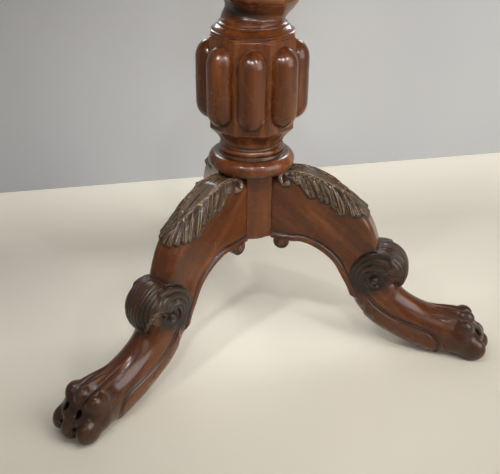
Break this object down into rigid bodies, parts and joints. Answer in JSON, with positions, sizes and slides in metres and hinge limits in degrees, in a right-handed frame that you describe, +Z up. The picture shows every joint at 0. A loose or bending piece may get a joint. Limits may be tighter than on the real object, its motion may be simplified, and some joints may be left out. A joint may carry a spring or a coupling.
{
  "type": "tripod table",
  "caption": "Round tilt-top pedestal table: lobed octagonal knop and spiral baluster on acanthus-carved legs with scrolled knees and paw feet.",
  "frame": {"origin": "on the floor under the middle of the pillar", "axes": "+Z up, the rear leg runs along +Y, the other two legs at 210 and 330 degrees, and the top tilts up at its rear about an axis along +X"},
  "size_m": [0.9099, 0.91, 0.728],
  "materials": {
    "mahogany_pillar": "french-polished mahogany, turned, dark in the hollows",
    "mahogany_legs": "french-polished mahogany, carved, dark in the cuts",
    "mahogany_top": "french-polished mahogany board",
    "mahogany_block": "oiled, unpolished mahogany",
    "beech": "plain hardwood, worn",
    "iron": "blackened wrought iron",
    "steel": "dull steel screws",
    "brass": "aged brass"
  },
  "bodies": {
    "base": {"bolt_keeper": "brass", "dovetail_plate": "iron", "dovetail_plate_screws": "steel", "hinge_block": "mahogany_block", "keeper_screws": "brass", "knop_boss_1": "mahogany_pillar", "knop_boss_2": "mahogany_pillar", "knop_boss_3": "mahogany_pillar", "knop_boss_4": "mahogany_pillar", "knop_boss_5": "mahogany_pillar", "knop_boss_6": "mahogany_pillar", "knop_boss_7": "mahogany_pillar", "knop_boss_8": "mahogany_pillar", "leg_left": "mahogany_legs", "leg_rear": "mahogany_legs", "leg_right": "mahogany_legs", "pillar_base": "mahogany_pillar", "pillar_knop": "mahogany_pillar", "pillar_stem": "mahogany_pillar", "pivot_left": "beech", "pivot_right": "beech", "spigot_wedge": "beech"},
    "top": {"table_top": "mahogany_top", "bearer_left": "mahogany_block", "bearer_right": "mahogany_block", "bearer_screws_left": "steel", "bearer_screws_right": "steel", "bolt_plate": "brass", "bolt_plate_screws": "brass"},
    "bolt": {"slide_bolt": "brass"}
  },
  "joints": [
    {"name": "top_tilt", "type": "hinge", "parent": "base", "child": "top", "pos_m": [0, -0.071, 0.6887], "axis": [1, 0, 0], "range_deg": [0, 90]},
    {"name": "bolt_slide", "type": "slide", "parent": "top", "child": "bolt", "axis": [0, -1, 0], "range_m": [0, 0.014]}
  ]
}
